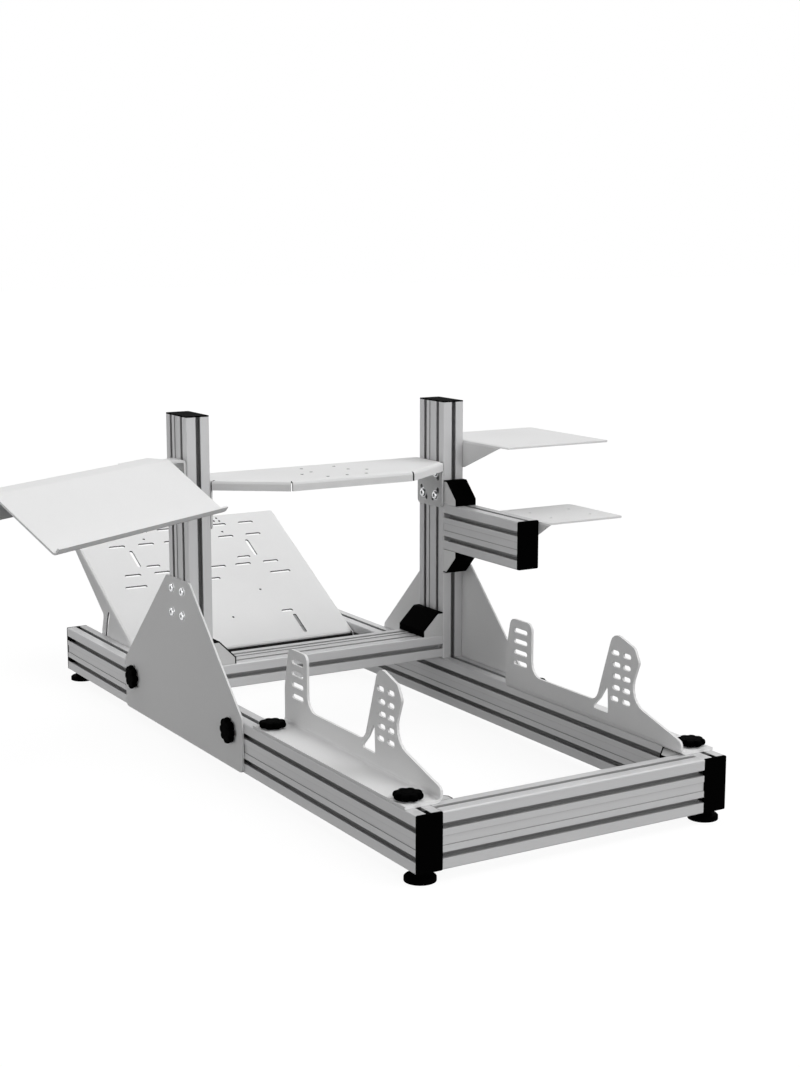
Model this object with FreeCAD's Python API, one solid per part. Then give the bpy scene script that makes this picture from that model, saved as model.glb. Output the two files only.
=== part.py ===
import FreeCAD, Part
import math
import os
from FreeCAD import Placement, Rotation, Vector

# A free-standing driving frame of slotted aluminium profile with folded steel plates.
# Millimetres. X points to the driver's right and is zero on the middle plane, Y points
# forward from the rear face of the base, and Z points up from the underside of the rails.
# The last step moves the whole frame so that its origin is under its middle, on the floor.

# Slotted profile
PROFILE_W = 40.0
PROFILE_H = 80.0
PROFILE_CORNER = 2.0
SLOT_OPENING = 8.2
SLOT_LIP = 4.5
SLOT_CAVITY = 20.0
SLOT_SHOULDER = 2.0
SLOT_FLOOR = 9.0
SLOT_DEPTH = 12.3
GROOVE_W = 13.2
GROOVE_DEPTH = 1.0

# Rounded corners that hold nothing are drawn as flats that stay this close to the true arc
FLAT_ERROR = 0.4
ARC_SLOT_STEPS = 4

# Gaps and sheets
SLIDE_GAP = 0.3
SEAT_GAP = 0.2
SHEET = 3.0
THICK_SHEET = 4.0
BEND_R = 2.0
WIDE_BEND_R = 6.0

# Base
BASE_INNER_W = 440.0
RAIL_L = 1260.0
RAIL_CAP_T = 3.0
FRONT_BAR_SETBACK = 141.0
FOOT_D = 44.0
FOOT_DISC_H = 7.0
FOOT_NECK_D = 26.0
FOOT_NECK_H = 10.0
FOOT_INSET = 24.0
FOOT_EDGE = 1.5
FOOT_SIDES = 24
FOOT_NECK_SIDES = 14

# Cast corner brackets with a moulded cover over the noses and the long side
BRACKET_LEG = 40.5
BRACKET_NOSE = 11.0
COVER_T = 2.0
COVER_GAP = 0.15

# Frame that carries the wheel deck
FRAME_Y = 697.0
UPRIGHT_L = 449.0
UPRIGHT_CAP_T = 2.0
CROSS_MEMBER_LIFT = 1.7
GUSSET_L = 462.0
GUSSET_TOP_W = 90.0
GUSSET_SIDE_H = 86.0
GUSSET_H = 265.0
GUSSET_CORNER = 8.0
GUSSET_KNOB_SPACING = 383.0

# Shifter arm and the two shelves
ARM_L = 224.0
ARM_Z = 274.5
ARM_CAP_T = 3.0
UPPER_SHELF_Z = 463.0
UPPER_SHELF_W = 210.0
UPPER_SHELF_L = 235.0
UPPER_SHELF_OVERHANG = 18.0
UPPER_FLANGE_H = 48.0
UPPER_FLANGE_TAPER = 111.0
LOWER_SHELF_DROP = 1.5
LOWER_SHELF_W = 150.0
LOWER_SHELF_L = 150.0
LOWER_SHELF_OVERHANG = 30.0
LOWER_FLANGE_H = 40.0
LOWER_FLANGE_TAPER = 60.0
SHELF_CORNER = 6.0
SHELF_HOLE_D = 6.0
SHELF_HOLES_X = 80.0
SHELF_HOLES_Y = 60.0

# Wheel deck
DECK_Z = 427.0
DECK_REACH = 76.5
DECK_REAR_W = 227.0
DECK_LIP = 16.0
DECK_LIP_RELIEF = 2.0
DECK_CHEEK_H = 80.0
DECK_CHEEK_CORNER = 8.0
DECK_BOLT_SPACING = 40.0
DECK_SLOT_W = 8.5
DECK_SLOT_SWING = 24.0
DECK_HOLE_D = 6.0
DECK_HOLE_ROWS = [(62.0, 48.0), (70.0, 6.0), (122.0, -11.5), (72.0, -53.5)]
DECK_MIDDLE_HOLE_SETBACK = 53.5

# Keyboard tray and its bracket
TRAY_TOP_Z = 465.7
TRAY_TURN = 31.5
TRAY_SWING_UP = 8.0
TRAY_PIVOT_REACH = 75.0
TRAY_PIVOT_SETBACK = 7.0
TRAY_END = 39.7
TRAY_W = 415.0
TRAY_BEND_BACK = 17.1
TRAY_STRIP = 41.0
TRAY_PANEL = 127.0
TRAY_SLOPE = 35.6
TRAY_LIP = 11.5
TRAY_REAR_FLANGE = 45.0
TRAY_FLANGE_START = 75.0
TRAY_BRACKET_INSET = 3.0
TRAY_BRACKET_W = 38.0
TRAY_BRACKET_LEG = 60.0
TRAY_BRACKET_EDGE = 27.0
TRAY_BRACKET_END_R = 15.0
TRAY_BRACKET_NOTCH_GAP = 2.0

# Seat brackets
SEAT_Y = 30.0
SEAT_L = 445.0
SEAT_OVERHANG = 15.0
SEAT_BAND_H = 35.3
SEAT_TAIL_H = 19.8
SEAT_PLATE_H = 150.0
FRONT_EAR_L = 72.7
FRONT_EAR_H = 119.8
FRONT_EAR_LEAN = 14.0
FRONT_EAR_BEND_H = 57.0
FRONT_EAR_BEND_R = 20.0
FRONT_EAR_R = 12.0
EAR_FOOT_R = 24.0
SEAT_TAIL_R = 9.0
REAR_EAR_SIDE = [(201.0, 35.3, 20.0), (162.0, 151.0, 18.0), (111.0, 135.0, 10.0), (99.5, 115.0, 8.0),
                 (123.5, 55.0, 32.0)]
SEAT_WINDOW = [(171.0, 22.5, 2.0), (211.0, 22.5, 3.0), (191.0, 42.0, 6.0), (173.0, 68.0, 3.0)]
EAR_SLOT_W = 8.0
EAR_SLOT_PITCH = 17.7
FRONT_SLOT_L = 38.0
FRONT_SLOT_COUNT = 4
FRONT_SLOT_SETBACK = 42.0
FRONT_SLOT_TOP = 102.1
REAR_SLOT_L = 19.0
REAR_SLOT_COUNT = 5
REAR_SLOT_Y = 128.0
REAR_SLOT_STEP = 23.5
REAR_SLOT_MID = 83.6
REAR_SLOT_ARC_R = 140.0
SEAT_KNOB_REAR = 24.8
SEAT_KNOB_FRONT = 27.3

# Pedal plate
PEDAL_PIVOT_Y = 1025.0
PEDAL_TILT = 28.9
PEDAL_TOP = 11.1
PEDAL_TAIL = 8.0
PEDAL_L = 379.0
PEDAL_LIP = 15.0
PEDAL_PIVOT_R = 13.0
PEDAL_ARC_R = 142.5
PEDAL_ARC_SWING = 38.9
PEDAL_ARC_END = 3.0
PEDAL_ARC_W = 8.5
PEDAL_EAR_OUTER_R = 161.0
PEDAL_SLOT_W = 7.0
# Slots across the plate: distance up the slope, length, and places either side of the middle
PEDAL_CROSS_SLOTS = [(348.7, 33.0, (31.0, 85.0, 145.0)), (309.7, 33.0, (31.0, 85.0, 145.0)),
                     (242.7, 28.0, (95.5,)), (221.7, 33.0, (31.0, 85.0, 145.0)), (187.7, 44.0, (151.0,)),
                     (73.7, 24.0, (114.0,))]
PEDAL_MIDDLE_SLOT = (187.7, 44.0)
# Slots up the slope: distance up the slope, length and place either side of the middle
PEDAL_LONG_SLOTS = [(269.2, 51.0, 123.0), (34.7, 54.0, 123.0)]
PEDAL_HOLE_D = 5.0
PEDAL_HOLES = [(325.5, 84.0), (142.0, 87.0), (361.3, 80.4), (369.7, 89.0), (359.8, 91.5)]
PEDAL_MIDDLE_HOLE_UP = 73.0

# Star knobs
KNOB_D = 42.0
KNOB_LOBES = 8
KNOB_POINTS_PER_LOBE = 4
KNOB_FLUTE_DEPTH = 4.5
KNOB_HUB_D = 22.0
KNOB_HUB_SIDES = 12
KNOB_HUB_H = 4.0
KNOB_HEAD_H = 9.0
KNOB_EDGE = 2.0

# Places worked out from the sizes above
INNER_X = BASE_INNER_W / 2
MID_X = INNER_X + PROFILE_W / 2
OUTER_X = INNER_X + PROFILE_W
RAIL_Y0 = RAIL_CAP_T
RAIL_Y1 = RAIL_CAP_T + RAIL_L
BASE_L = RAIL_L + 2 * RAIL_CAP_T
SLOT_LOW = PROFILE_W / 2
SLOT_HIGH = PROFILE_H - PROFILE_W / 2
UPRIGHT_Z0 = PROFILE_H + SLIDE_GAP
UPRIGHT_Z1 = UPRIGHT_Z0 + UPRIGHT_L
FRAME_Y1 = FRAME_Y + PROFILE_H
FRAME_MID_Y = FRAME_Y + PROFILE_H / 2
CROSS_Z0 = UPRIGHT_Z0 + CROSS_MEMBER_LIFT
CROSS_Z1 = CROSS_Z0 + PROFILE_W
GUSSET_X = OUTER_X + SLIDE_GAP
SEAT_FACE_X = INNER_X - SEAT_OVERHANG
ARM_Z1 = ARM_Z + PROFILE_H
DECK_PIVOT_Z = DECK_Z - DECK_CHEEK_H / 2
SEAT_Z = PROFILE_H + SEAT_GAP
TRAY_PIVOT_X = OUTER_X + TRAY_PIVOT_REACH
TRAY_PIVOT_Y = FRAME_Y - TRAY_PIVOT_SETBACK
TRAY_BRACKET_TOP = TRAY_TOP_Z - SHEET - SLIDE_GAP
TRAY_BRACKET_Y0 = FRAME_Y + TRAY_BRACKET_INSET
TRAY_BRACKET_Y1 = TRAY_BRACKET_Y0 + TRAY_BRACKET_W
PEDAL_PIVOT_Z = SLOT_HIGH

X_AXIS = Vector(1, 0, 0)
Y_AXIS = Vector(0, 1, 0)
Z_AXIS = Vector(0, 0, 1)


def at(axis, level, a, b):
    """A point on the plane axis = level, with a and b along the other two axes in order."""
    if axis == "x":
        return Vector(level, a, b)
    if axis == "y":
        return Vector(a, level, b)
    return Vector(a, b, level)


def rounded_wire(corners, place, exact=False):
    """A closed wire through (a, b, radius) corners, rounded by flats, or by true arcs if exact."""
    count = len(corners)
    runs = []
    for index, (a, b, radius) in enumerate(corners):
        here = Vector(a, b, 0)
        if radius == 0:
            runs.append([here])
            continue
        before = corners[index - 1]
        after = corners[(index + 1) % count]
        back = (Vector(before[0], before[1], 0) - here).normalize()
        ahead = (Vector(after[0], after[1], 0) - here).normalize()
        half = back.getAngle(ahead) / 2
        reach = radius / math.tan(half)
        centre = here + (back + ahead).normalize() * (radius / math.sin(half))
        first = here + back * reach - centre
        last = here + ahead * reach - centre
        turn = math.pi - 2 * half
        flat_turn = 2 * math.acos(max(1 - FLAT_ERROR / radius, 0))
        steps = 2 if exact else math.ceil(turn / flat_turn)
        run = []
        for step in range(steps + 1):
            share = step / steps
            mixed = first * math.sin((1 - share) * turn) + last * math.sin(share * turn)
            run.append(centre + mixed * (1 / math.sin(turn)))
        runs.append(run)
    edges = []
    for index, run in enumerate(runs):
        following = runs[(index + 1) % count][0]
        if exact and len(run) > 1:
            edges.append(Part.Arc(place(run[0]), place(run[1]), place(run[2])).toShape())
            run = run[2:]
        for start, end in zip(run, run[1:] + [following]):
            if start.distanceToPoint(end) > 1e-6:
                edges.append(Part.makeLine(place(start), place(end)))
    return Part.Wire(edges)


def plate(axis, low, high, corners, exact=False):
    """A solid between two planes square to an axis, with an outline of rounded corners."""
    wire = rounded_wire(corners, lambda point: at(axis, low, point.x, point.y), exact)
    return Part.Face(wire).extrude(at(axis, high, 0, 0) - at(axis, low, 0, 0))


def block(x0, x1, y0, y1, z0, z1):
    """A plain box between two opposite corners."""
    return Part.makeBox(x1 - x0, y1 - y0, z1 - z0, Vector(x0, y0, z0))


def fold_corners(line, thickness, bend):
    """The rounded section of a sheet of one thickness folded along a line of points."""
    last = len(line) - 1
    left = []
    right = []
    for index, (a, b) in enumerate(line):
        here = Vector(a, b, 0)
        back_end = line[max(index - 1, 0)]
        front_end = line[min(index + 1, last)]
        coming = here - Vector(back_end[0], back_end[1], 0)
        going = Vector(front_end[0], front_end[1], 0) - here
        if index == 0:
            coming = going
        if index == last:
            going = coming
        coming = Vector(coming).normalize()
        going = Vector(going).normalize()
        side = Vector(-coming.y - going.y, coming.x + going.x, 0).normalize()
        offset = thickness / 2 / side.dot(Vector(-coming.y, coming.x, 0))
        turn = coming.x * going.y - coming.y * going.x
        inside = bend if 0 < index < last else 0
        outside = bend + thickness if 0 < index < last else 0
        left_radius = inside if turn > 0 else outside
        right_radius = outside if turn > 0 else inside
        left.append((a + side.x * offset, b + side.y * offset, left_radius))
        right.append((a - side.x * offset, b - side.y * offset, right_radius))
    return left + right[::-1]


def folded_sheet(axis, low, high, line, thickness, bend):
    """A sheet folded along a line of points and drawn out along an axis."""
    return plate(axis, low, high, fold_corners(line, thickness, bend))


def rectangle(a0, a1, b0, b1, radius):
    """The corners of a rectangle with one corner radius."""
    return [(a0, b0, radius), (a1, b0, radius), (a1, b1, radius), (a0, b1, radius)]


def slot(axis, low, high, a, b, length, width, along_b=False, exact=False):
    """A cutter for a round-ended slot centred at (a, b), long along a unless along_b is set."""
    half_a, half_b = (width / 2, length / 2) if along_b else (length / 2, width / 2)
    outline = rectangle(a - half_a, a + half_a, b - half_b, b + half_b, width / 2)
    return plate(axis, low, high, outline, exact)


def arc_slot(axis, low, high, centre, radius, start, end, width):
    """A cutter for a round-ended slot along an arc, with its angles in degrees."""
    def on_ring(ring, angle):
        turn = math.radians(angle)
        return (centre[0] + ring * math.cos(turn), centre[1] + ring * math.sin(turn), 0)

    def past_end(ring, angle, sign):
        turn = math.radians(angle)
        a, b, _ = on_ring(ring, angle)
        past = sign * width / 2
        return (a - past * math.sin(turn), b + past * math.cos(turn), width / 2)

    inner = radius - width / 2
    outer = radius + width / 2
    angles = [start + (end - start) * step / ARC_SLOT_STEPS for step in range(ARC_SLOT_STEPS + 1)]
    corners = [past_end(outer, start, -1)]
    corners += [on_ring(outer, angle) for angle in angles]
    corners += [past_end(outer, end, 1), past_end(inner, end, 1)]
    corners += [on_ring(inner, angle) for angle in angles[::-1]]
    corners += [past_end(inner, start, -1)]
    return plate(axis, low, high, corners)


def hole(axis, low, high, a, b, diameter):
    """A cutter for a round hole along an axis."""
    start = at(axis, low, a, b)
    return Part.makeCylinder(diameter / 2, high - low, start, at(axis, 1, 0, 0))


def join(shapes):
    """One solid fused from overlapping shapes."""
    return shapes[0].fuse(shapes[1:]).removeSplitter()


def other_side(shape):
    """The mirror image of a shape across the middle plane."""
    return shape.mirror(Vector(0, 0, 0), X_AXIS)


def profile_corners():
    """The profile's section: two slots and a shallow groove per wide side, one slot per edge."""
    mouth = SLOT_OPENING / 2
    cavity = SLOT_CAVITY / 2
    floor = SLOT_FLOOR / 2
    shoulder = SLOT_LIP + SLOT_SHOULDER
    half_slot = [(-mouth, 0), (-mouth, SLOT_LIP), (-cavity, SLOT_LIP), (-cavity, shoulder),
                 (-floor, SLOT_DEPTH)]
    slot_line = half_slot + [(-s, depth) for s, depth in half_slot[::-1]]
    groove = GROOVE_W / 2
    groove_line = [(-groove, 0), (-groove, GROOVE_DEPTH), (groove, GROOVE_DEPTH), (groove, 0)]
    edge_side = [(PROFILE_W / 2 + s, depth) for s, depth in slot_line]
    wide_side = []
    for centre, line in [(SLOT_LOW, slot_line), (PROFILE_H / 2, groove_line), (SLOT_HIGH, slot_line)]:
        wide_side += [(centre + s, depth) for s, depth in line]
    corners = [(0, 0, PROFILE_CORNER)]
    corners += [(s, depth, 0) for s, depth in edge_side]
    corners += [(PROFILE_W, 0, PROFILE_CORNER)]
    corners += [(PROFILE_W - depth, s, 0) for s, depth in wide_side]
    corners += [(PROFILE_W, PROFILE_H, PROFILE_CORNER)]
    corners += [(PROFILE_W - s, PROFILE_H - depth, 0) for s, depth in edge_side]
    corners += [(0, PROFILE_H, PROFILE_CORNER)]
    corners += [(depth, PROFILE_H - s, 0) for s, depth in wide_side]
    return corners


def profile_bar(corner, narrow, wide, along, length):
    """A length of profile from one corner of its end, with its narrow and wide directions."""
    wire = rounded_wire(profile_corners(), lambda point: corner + narrow * point.x + wide * point.y)
    return Part.Face(wire).extrude(along * length)


def end_cap(corner, narrow, wide, along, thickness):
    """A cap with the profile's outline, lying on the profile's end."""
    outline = rectangle(0, PROFILE_W, 0, PROFILE_H, PROFILE_CORNER)
    wire = rounded_wire(outline, lambda point: corner + narrow * point.x + wide * point.y)
    return Part.Face(wire).extrude(along * thickness)


def corner_bracket(origin, leg_a, leg_b, along, width):
    """A cast corner bracket and its cover: two legs from an inner corner, drawn along an edge."""
    def slope_ends(depth):
        nose = BRACKET_NOSE - depth * math.tan(math.radians(22.5))
        return [(BRACKET_LEG - depth, nose, 0), (nose, BRACKET_LEG - depth, 0)]

    def drawn(corners):
        wire = rounded_wire(corners, lambda point: origin + leg_a * point.x + leg_b * point.y)
        return Part.Face(wire).extrude(along * width)

    inner = BRACKET_LEG - COVER_T - COVER_GAP
    body = drawn([(0, 0, 0), (inner, 0, 0)] + slope_ends(COVER_T + COVER_GAP) + [(0, inner, 0)])
    hollow = BRACKET_LEG - COVER_T
    cover = drawn([(BRACKET_LEG, 0, 0)] + slope_ends(0) + [(0, BRACKET_LEG, 0), (0, hollow, 0)]
                  + slope_ends(COVER_T)[::-1] + [(hollow, 0, 0)])
    return body, cover


def ring(z, count, reach):
    """Corners of a closed level polygon about the Z axis, as far out as reach says at each angle."""
    points = []
    for index in range(count):
        angle = 2 * math.pi * index / count
        points.append(Vector(reach(angle) * math.cos(angle), reach(angle) * math.sin(angle), z))
    return points + points[:1]


def flat_sided(rings):
    """A solid with flat faces through level rings of corners that stand one above another."""
    outlines = [rings[0], rings[-1]]
    for lower, upper in zip(rings, rings[1:]):
        for near, far, far_up, near_up in zip(lower, lower[1:], upper[1:], upper):
            outlines.append([near, far, far_up, near_up, near])
    return Part.Solid(Part.makeShell([Part.Face(Part.makePolygon(outline)) for outline in outlines]))


def star_knob():
    """A fluted hand knob that stands on its hub, with its axis along Z."""
    def outline(angle):
        return KNOB_D / 2 - KNOB_FLUTE_DEPTH * (1 - math.cos(KNOB_LOBES * angle)) / 2

    count = KNOB_LOBES * KNOB_POINTS_PER_LOBE
    top = KNOB_HUB_H + KNOB_HEAD_H
    shrink = 1 - 2 * KNOB_EDGE / KNOB_D
    head = flat_sided([ring(KNOB_HUB_H, count, outline), ring(top - KNOB_EDGE, count, outline),
                       ring(top, count, lambda angle: outline(angle) * shrink)])
    hub = flat_sided([ring(level, KNOB_HUB_SIDES, lambda angle: KNOB_HUB_D / 2)
                      for level in (0, KNOB_HUB_H + KNOB_EDGE)])
    return join([hub, head])


def foot():
    """A levelling foot: a wide disc under a narrower neck, with the rail's underside at Z 0."""
    def rim(angle):
        return FOOT_D / 2

    disc_z = -FOOT_NECK_H - FOOT_DISC_H
    shoulder_z = -FOOT_NECK_H - FOOT_EDGE
    disc = flat_sided([ring(disc_z, FOOT_SIDES, rim), ring(shoulder_z, FOOT_SIDES, rim),
                       ring(-FOOT_NECK_H, FOOT_SIDES, lambda angle: rim(angle) - FOOT_EDGE)])
    neck = flat_sided([ring(level, FOOT_NECK_SIDES, lambda angle: FOOT_NECK_D / 2)
                       for level in (shoulder_z, 0)])
    return join([disc, neck])


def seated(shape, place, axis=Z_AXIS):
    """A copy of a shape moved to a place, with its own Z turned to an axis."""
    copy = shape.copy()
    copy.Placement = Placement(place, Rotation(Z_AXIS, axis))
    return copy


def base():
    """The four profiles of the base, their caps, feet and inner corner brackets."""
    nodes = {}
    rail = profile_bar(Vector(INNER_X, RAIL_Y0, 0), X_AXIS, Z_AXIS, Y_AXIS, RAIL_L)
    rear_cap = end_cap(Vector(INNER_X, 0, 0), X_AXIS, Z_AXIS, Y_AXIS, RAIL_CAP_T)
    front_cap = end_cap(Vector(INNER_X, RAIL_Y1, 0), X_AXIS, Z_AXIS, Y_AXIS, RAIL_CAP_T)
    rear_foot = seated(foot(), Vector(MID_X, FOOT_INSET, 0))
    front_foot = seated(foot(), Vector(MID_X, BASE_L - FOOT_INSET, 0))
    bracket, cover = corner_bracket(Vector(INNER_X, PROFILE_W, 0), -X_AXIS, Y_AXIS, Z_AXIS, PROFILE_H)
    right = {"rail": rail, "rail_cap_rear": rear_cap, "rail_cap_front": front_cap,
             "foot_rear": rear_foot, "foot_front": front_foot, "corner_bracket": bracket}
    for name, shape in right.items():
        nodes[name + "_right"] = shape
        nodes[name + "_left"] = other_side(shape)
    nodes["corner_bracket_covers"] = Part.makeCompound([cover, other_side(cover)])
    nodes["crossbar_rear"] = profile_bar(Vector(-INNER_X, 0, 0), Y_AXIS, Z_AXIS, X_AXIS, BASE_INNER_W)
    front_y = BASE_L - FRONT_BAR_SETBACK - PROFILE_H
    nodes["crossbar_front"] = profile_bar(Vector(-INNER_X, front_y, 0), Z_AXIS, Y_AXIS, X_AXIS,
                                          BASE_INNER_W)
    return nodes


def gusset():
    """The right side plate that ties an upright to its rail, with its outline about the upright."""
    foot_half = GUSSET_L / 2
    top_half = GUSSET_TOP_W / 2
    r = GUSSET_CORNER
    outline = [(-foot_half, 0, r), (foot_half, 0, r), (foot_half, GUSSET_SIDE_H, r),
               (top_half, GUSSET_H, r), (-top_half, GUSSET_H, r), (-foot_half, GUSSET_SIDE_H, r)]
    corners = [(FRAME_MID_Y + a, b, radius) for a, b, radius in outline]
    return plate("x", GUSSET_X, GUSSET_X + SHEET, corners)


def shelf_upper():
    """The upper side shelf: a flat top on a tapered flange against the right upright."""
    front = FRAME_Y1 + UPPER_SHELF_OVERHANG
    rear = front - UPPER_SHELF_L
    mid = UPPER_SHELF_Z - SHEET / 2
    low = UPPER_SHELF_Z - UPPER_FLANGE_H
    line = [(OUTER_X + SHEET / 2, low), (OUTER_X + SHEET / 2, mid), (OUTER_X + UPPER_SHELF_W, mid)]
    blank = folded_sheet("y", rear, front, line, SHEET, BEND_R)
    taper_y = FRAME_Y - UPPER_FLANGE_TAPER
    side = [(rear, UPPER_SHELF_Z, 0), (rear, mid - SHEET / 2, 0), (taper_y, mid - SHEET / 2, 0),
            (FRAME_Y, low, SHELF_CORNER), (FRAME_Y1, low, SHELF_CORNER),
            (FRAME_Y1, mid - SHEET / 2, 0), (front, mid - SHEET / 2, 0), (front, UPPER_SHELF_Z, 0)]
    plan = rectangle(OUTER_X, OUTER_X + UPPER_SHELF_W, rear, front, SHELF_CORNER)
    plan[0] = (OUTER_X, rear, 0)
    plan[3] = (OUTER_X, front, 0)
    shape = blank.common(plate("x", OUTER_X, OUTER_X + UPPER_SHELF_W, side))
    return shape.common(plate("z", low, UPPER_SHELF_Z, plan))


def shelf_lower():
    """The lower side shelf: a flat top with four holes, on a tapered flange against the arm."""
    top = ARM_Z1 - LOWER_SHELF_DROP
    rear = FRAME_Y - ARM_L - ARM_CAP_T - LOWER_SHELF_OVERHANG
    front = rear + LOWER_SHELF_L
    mid = top - SHEET / 2
    low = top - LOWER_FLANGE_H
    line = [(OUTER_X + SHEET / 2, low), (OUTER_X + SHEET / 2, mid), (OUTER_X + LOWER_SHELF_W, mid)]
    blank = folded_sheet("y", rear, front, line, SHEET, BEND_R)
    side = [(rear, top, 0), (rear, mid - SHEET / 2, 0), (rear + LOWER_FLANGE_TAPER, low, SHELF_CORNER),
            (front, low, SHELF_CORNER), (front, top, 0)]
    plan = rectangle(OUTER_X, OUTER_X + LOWER_SHELF_W, rear, front, SHELF_CORNER)
    plan[0] = (OUTER_X, rear, 0)
    plan[3] = (OUTER_X, front, 0)
    shape = blank.common(plate("x", OUTER_X, OUTER_X + LOWER_SHELF_W, side))
    shape = shape.common(plate("z", low, top, plan))
    centre_x = OUTER_X + LOWER_SHELF_W / 2
    centre_y = rear + LOWER_SHELF_L / 2
    for side_x in (-1, 1):
        for side_y in (-1, 1):
            x = centre_x + side_x * SHELF_HOLES_X / 2
            y = centre_y + side_y * SHELF_HOLES_Y / 2
            shape = shape.cut(hole("z", low, top + 1, x, y, SHELF_HOLE_D))
    return shape


def tray_bracket():
    """The bracket that carries the tray: a leg on the left upright and a tongue under the pivot."""
    top = TRAY_BRACKET_TOP
    mid = top - THICK_SHEET / 2
    low = top - TRAY_BRACKET_LEG
    end_x = TRAY_PIVOT_X + TRAY_BRACKET_END_R
    line = [(-OUTER_X - THICK_SHEET / 2, low), (-OUTER_X - THICK_SHEET / 2, mid), (-end_x, mid)]
    blank = folded_sheet("y", TRAY_PIVOT_Y - TRAY_BRACKET_END_R, TRAY_BRACKET_Y1, line, THICK_SHEET,
                         BEND_R)
    edge_x = -OUTER_X - TRAY_BRACKET_EDGE
    pivot = Vector(-TRAY_PIVOT_X, TRAY_PIVOT_Y, 0)
    furthest = math.radians(TRAY_TURN + TRAY_SWING_UP)
    along = Vector(math.cos(furthest), math.sin(furthest), 0)
    across = Vector(-along.y, along.x, 0)
    tangent = pivot - across * TRAY_BRACKET_END_R
    notch = tangent + along * (TRAY_END + TRAY_BRACKET_NOTCH_GAP)
    back = math.radians(TRAY_TURN)
    front_x = -TRAY_PIVOT_X - TRAY_BRACKET_END_R * math.sin(back)
    front_y = TRAY_PIVOT_Y + TRAY_BRACKET_END_R * math.cos(back)
    plan = [(-OUTER_X, TRAY_BRACKET_Y0, 0), (edge_x, TRAY_BRACKET_Y0, 0), (notch.x, notch.y, 0),
            (tangent.x, tangent.y, 0), (front_x, front_y, 0),
            (-OUTER_X - THICK_SHEET - BEND_R, TRAY_BRACKET_Y1, 0), (-OUTER_X, TRAY_BRACKET_Y1, 0)]
    tongue = plate("z", low, top, plan)
    end_width = 2 * TRAY_BRACKET_END_R
    end = slot("z", low, top, pivot.x, pivot.y, end_width, end_width)
    return blank.common(join([tongue, end])).removeSplitter()


def wheel_frame():
    """The sliding frame: uprights, cross-member, gussets, shifter arm, shelves and tray bracket."""
    nodes = {}
    upright = profile_bar(Vector(INNER_X, FRAME_Y, UPRIGHT_Z0), X_AXIS, Y_AXIS, Z_AXIS, UPRIGHT_L)
    cap = end_cap(Vector(INNER_X, FRAME_Y, UPRIGHT_Z1), X_AXIS, Y_AXIS, Z_AXIS, UPRIGHT_CAP_T)
    bracket, cover = corner_bracket(Vector(INNER_X, FRAME_Y, CROSS_Z1), -X_AXIS, Z_AXIS, Y_AXIS,
                                    PROFILE_H)
    knob = star_knob()
    face_x = GUSSET_X + SHEET
    right = {"upright": upright, "upright_cap": cap, "gusset": gusset(), "cross_bracket": bracket}
    for name, sign in (("gusset_knob_rear", -1), ("gusset_knob_front", 1)):
        y = FRAME_MID_Y + sign * GUSSET_KNOB_SPACING / 2
        right[name] = seated(knob, Vector(face_x, y, SLOT_HIGH), X_AXIS)
    for name, shape in right.items():
        nodes[name + "_right"] = shape
        nodes[name + "_left"] = other_side(shape)
    nodes["cross_bracket_covers"] = Part.makeCompound([cover, other_side(cover)])
    nodes["cross_member"] = profile_bar(Vector(-INNER_X, FRAME_Y, CROSS_Z0), Z_AXIS, Y_AXIS, X_AXIS,
                                        BASE_INNER_W)
    arm_y = FRAME_Y - ARM_L
    nodes["shifter_arm"] = profile_bar(Vector(INNER_X, arm_y, ARM_Z), X_AXIS, Z_AXIS, Y_AXIS, ARM_L)
    nodes["shifter_arm_cap"] = end_cap(Vector(INNER_X, arm_y - ARM_CAP_T, ARM_Z), X_AXIS, Z_AXIS,
                                       Y_AXIS, ARM_CAP_T)
    upper, upper_cover = corner_bracket(Vector(INNER_X, FRAME_Y, ARM_Z1), -Y_AXIS, Z_AXIS, X_AXIS,
                                        PROFILE_W)
    lower, lower_cover = corner_bracket(Vector(INNER_X, FRAME_Y, ARM_Z), -Y_AXIS, -Z_AXIS, X_AXIS,
                                        PROFILE_W)
    nodes["arm_bracket_upper"] = upper
    nodes["arm_bracket_lower"] = lower
    nodes["arm_bracket_covers"] = Part.makeCompound([upper_cover, lower_cover])
    nodes["shelf_upper"] = shelf_upper()
    nodes["shelf_lower"] = shelf_lower()
    nodes["tray_bracket"] = tray_bracket()
    return nodes


def lip(start, end, height, top):
    """A lip folded down along an edge of a level sheet, between two (x, y) points of its face."""
    run = Vector(end[0] - start[0], end[1] - start[1], 0)
    length = run.Length
    inward = Vector(-run.y, run.x, 0).normalize()
    reach = 2 * (SHEET + BEND_R)
    corners = fold_corners([(SHEET / 2, -height), (SHEET / 2, -SHEET / 2), (reach, -SHEET / 2)],
                           SHEET, BEND_R)
    origin = Vector(start[0], start[1], top)
    wire = rounded_wire(corners, lambda point: origin + inward * point.x + Z_AXIS * point.y)
    return Part.Face(wire).extrude(run.normalize() * length)


def shortened(start, end, cut):
    """The two ends of a line, each moved inward by a length."""
    run = Vector(end[0] - start[0], end[1] - start[1], 0).normalize()
    return (start[0] + run.x * cut, start[1] + run.y * cut), (end[0] - run.x * cut, end[1] - run.y * cut)


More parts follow.
